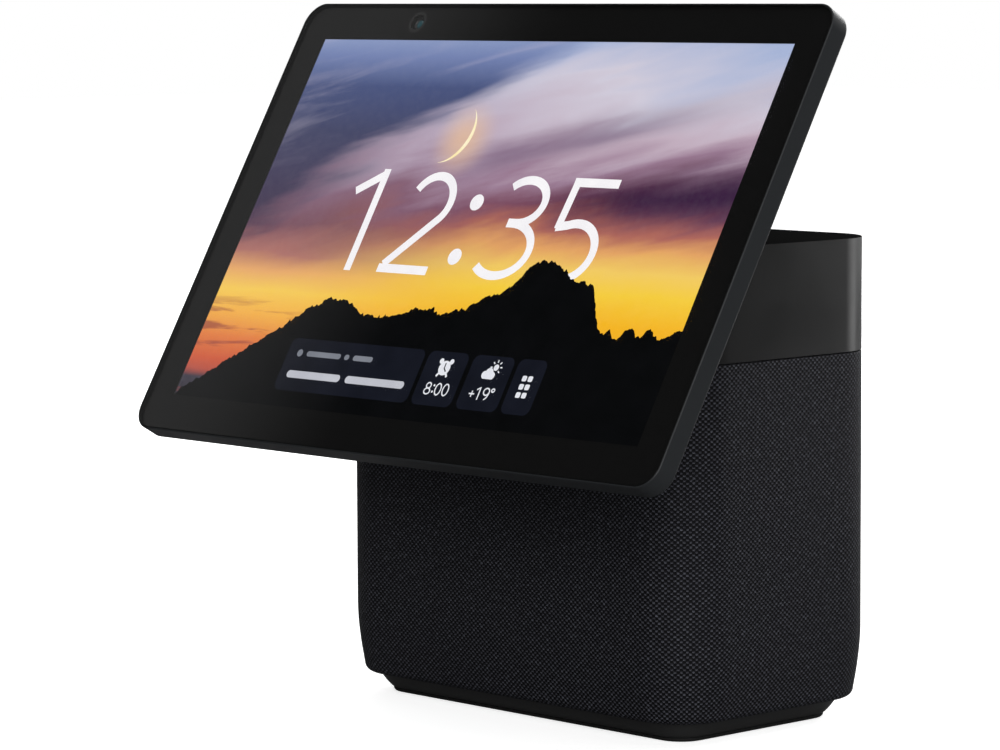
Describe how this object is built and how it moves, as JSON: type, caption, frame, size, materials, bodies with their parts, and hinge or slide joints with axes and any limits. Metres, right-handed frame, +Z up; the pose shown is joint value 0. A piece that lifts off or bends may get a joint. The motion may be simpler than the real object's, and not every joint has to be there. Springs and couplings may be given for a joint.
{
  "type": "smart display",
  "caption": "Tabletop smart display: a slim wide touch screen on a tilting hinge in front of an upright fabric-wrapped speaker base with a plain collar and buttons on top.",
  "frame": {"origin": "centre of the rubber foot's underside, on the table", "axes": "+Z up, +X along the front to the viewer's right, -Y out of the front, towards the viewer; the screen leans back 30 degrees at rest"},
  "size_m": [0.2434, 0.1497, 0.2313],
  "materials": {
    "satin_black": "satin moulded black",
    "dark_housing": "fine matte dark grey",
    "knit_fabric": "black spacer knit with open cells",
    "cover_glass": "gloss, printed black behind its border",
    "screen_panel": "display picture behind the glass",
    "rubber_foot": "matte",
    "driver_rubber": "satin",
    "inner_plastic": "moulded, matte",
    "zinc_steel": "zinc plated",
    "black_steel": "black coated",
    "cone_paper": "pressed paper pulp",
    "circuit_board": "solder mask",
    "bare_aluminium": "milled",
    "foam": "closed-cell foam",
    "cable_jacket": "black polyimide ribbon",
    "lens_glass": "coated"
  },
  "bodies": {
    "base": {"rubber_foot": "rubber_foot", "foot_plinth": "satin_black", "foot_screw_1": "zinc_steel", "foot_screw_2": "zinc_steel", "foot_screw_3": "zinc_steel", "foot_screw_4": "zinc_steel", "fabric_sleeve": "knit_fabric", "speaker_shell": "inner_plastic", "enclosure_lid": "inner_plastic", "enclosure_screw_1": "zinc_steel", "enclosure_screw_2": "zinc_steel", "enclosure_screw_3": "zinc_steel", "enclosure_screw_4": "zinc_steel", "woofer_basket": "black_steel", "woofer_magnet": "zinc_steel", "woofer_surround": "driver_rubber", "radiator_surround_left": "driver_rubber", "radiator_surround_right": "driver_rubber", "tweeter_left": "cone_paper", "tweeter_right": "cone_paper", "main_board": "circuit_board", "heat_sink": "bare_aluminium", "socket_surround": "satin_black", "power_jack": "black_steel", "collar": "satin_black", "top_plate": "satin_black", "button_board": "circuit_board", "hinge_bracket": "black_steel", "hinge_pin": "zinc_steel", "friction_washer_left": "zinc_steel", "friction_washer_right": "zinc_steel", "neck_cover_upper": "satin_black", "neck_cover_lower": "satin_black", "display_cable": "cable_jacket", "bracket_screw_1": "zinc_steel", "bracket_screw_2": "zinc_steel"},
    "screen": {"rear_housing": "dark_housing", "cover_glass": "cover_glass", "glass_gasket": "foam", "display_panel": "screen_panel", "chassis_plate": "bare_aluminium", "display_board": "circuit_board", "camera_module": "black_steel", "camera_lens": "lens_glass", "camera_board": "circuit_board", "hinge_leaf": "black_steel", "leaf_screw_1": "zinc_steel", "leaf_screw_2": "zinc_steel", "leaf_screw_3": "zinc_steel", "leaf_screw_4": "zinc_steel"},
    "shutter": {"camera_shutter": "dark_housing"},
    "volume_down": {"volume_down_button": "dark_housing"},
    "mute": {"mute_button": "dark_housing"},
    "volume_up": {"volume_up_button": "dark_housing"},
    "cone": {"woofer_cone": "cone_paper"},
    "radiator_left": {"radiator_plate_left": "black_steel"},
    "radiator_right": {"radiator_plate_right": "black_steel"}
  },
  "joints": [
    {"name": "screen_tilt", "type": "hinge", "parent": "base", "child": "screen", "pos_m": [0, -0.06, 0.13199], "axis": [-1, 0, 0], "range_deg": [-20, 8], "deforming": ["display_cable"]},
    {"name": "shutter_slide", "type": "slide", "parent": "screen", "child": "shutter", "axis": [1, 0, 0], "range_m": [0, 0.008]},
    {"name": "volume_down_press", "type": "slide", "parent": "base", "child": "volume_down", "axis": [0, 0, -1], "range_m": [0, 0.0008], "stiffness_N_per_m": 900, "springref_m": -0.0006},
    {"name": "mute_press", "type": "slide", "parent": "base", "child": "mute", "axis": [0, 0, -1], "range_m": [0, 0.0008], "stiffness_N_per_m": 900, "springref_m": -0.0006},
    {"name": "volume_up_press", "type": "slide", "parent": "base", "child": "volume_up", "axis": [0, 0, -1], "range_m": [0, 0.0008], "stiffness_N_per_m": 900, "springref_m": -0.0006},
    {"name": "cone_travel", "type": "slide", "parent": "base", "child": "cone", "axis": [0, -1, 0], "range_m": [-0.003, 0.003], "stiffness_N_per_m": 1200},
    {"name": "radiator_left_travel", "type": "slide", "parent": "base", "child": "radiator_left", "axis": [-1, 0, 0], "range_m": [-0.003, 0.003], "stiffness_N_per_m": 1200},
    {"name": "radiator_right_travel", "type": "slide", "parent": "base", "child": "radiator_right", "axis": [1, 0, 0], "range_m": [-0.003, 0.003], "stiffness_N_per_m": 1200}
  ]
}
